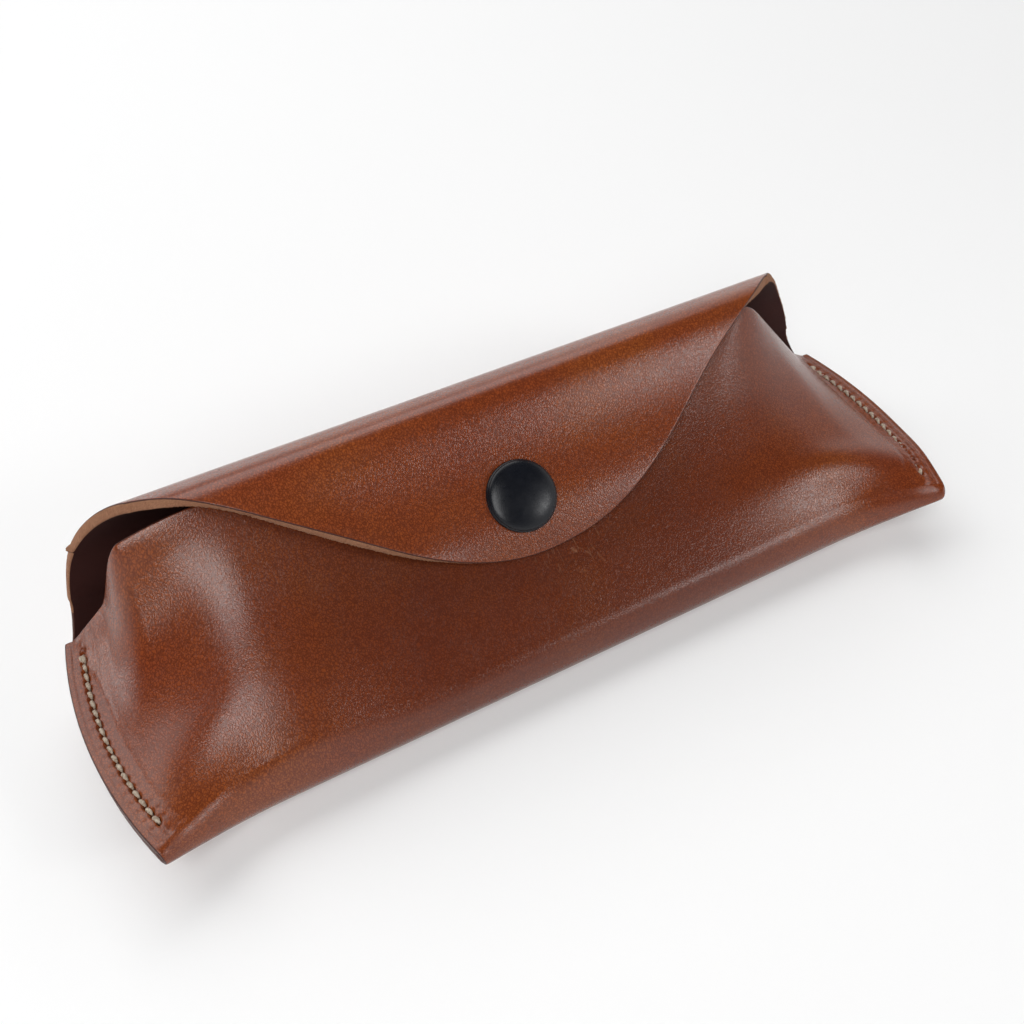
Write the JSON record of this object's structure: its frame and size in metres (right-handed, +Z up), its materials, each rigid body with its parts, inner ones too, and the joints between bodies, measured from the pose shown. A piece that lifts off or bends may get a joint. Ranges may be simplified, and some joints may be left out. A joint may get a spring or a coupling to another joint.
{
  "type": "sunglasses case",
  "caption": "Moulded leather sunglasses case with sewn ends and a flap that closes over the front with a press snap.",
  "frame": {"origin": "on the surface that the case rests on, below the middle of its bounding box", "axes": "+X along the case's length, -Y towards the folded edge, +Y towards the mouth and the flap's bend, +Z up from the back panel"},
  "size_m": [0.16, 0.0512, 0.0403],
  "materials": {
    "leather": "semi-gloss grain outside, raw flesh side inside",
    "thread": "waxed thread",
    "black_metal": "satin black",
    "spring_steel": "plain"
  },
  "bodies": {
    "pouch": {"pouch": "leather", "left_stitching": "thread", "right_stitching": "thread", "snap_stud": "black_metal", "snap_post": "black_metal"},
    "flap_rear": {"flap_rear": "leather"},
    "flap_front": {"flap_front": "leather", "snap_cap": "black_metal", "snap_socket": "black_metal", "socket_spring": "spring_steel"}
  },
  "joints": [
    {"name": "lip_hinge", "type": "hinge", "parent": "pouch", "child": "flap_rear", "pos_m": [0, 0.0248, 0.018], "axis": [-1, 0, 0], "range_deg": [0, 60], "stiffness_Nm_per_rad": 0.002},
    {"name": "crest_hinge", "type": "hinge", "parent": "flap_rear", "child": "flap_front", "pos_m": [0, 0.018, 0.0389], "axis": [-1, 0, 0], "range_deg": [0, 120], "stiffness_Nm_per_rad": 0.002}
  ],
  "couplings": [
    {"joint": "crest_hinge", "follows": "lip_hinge", "ratio": 2}
  ]
}
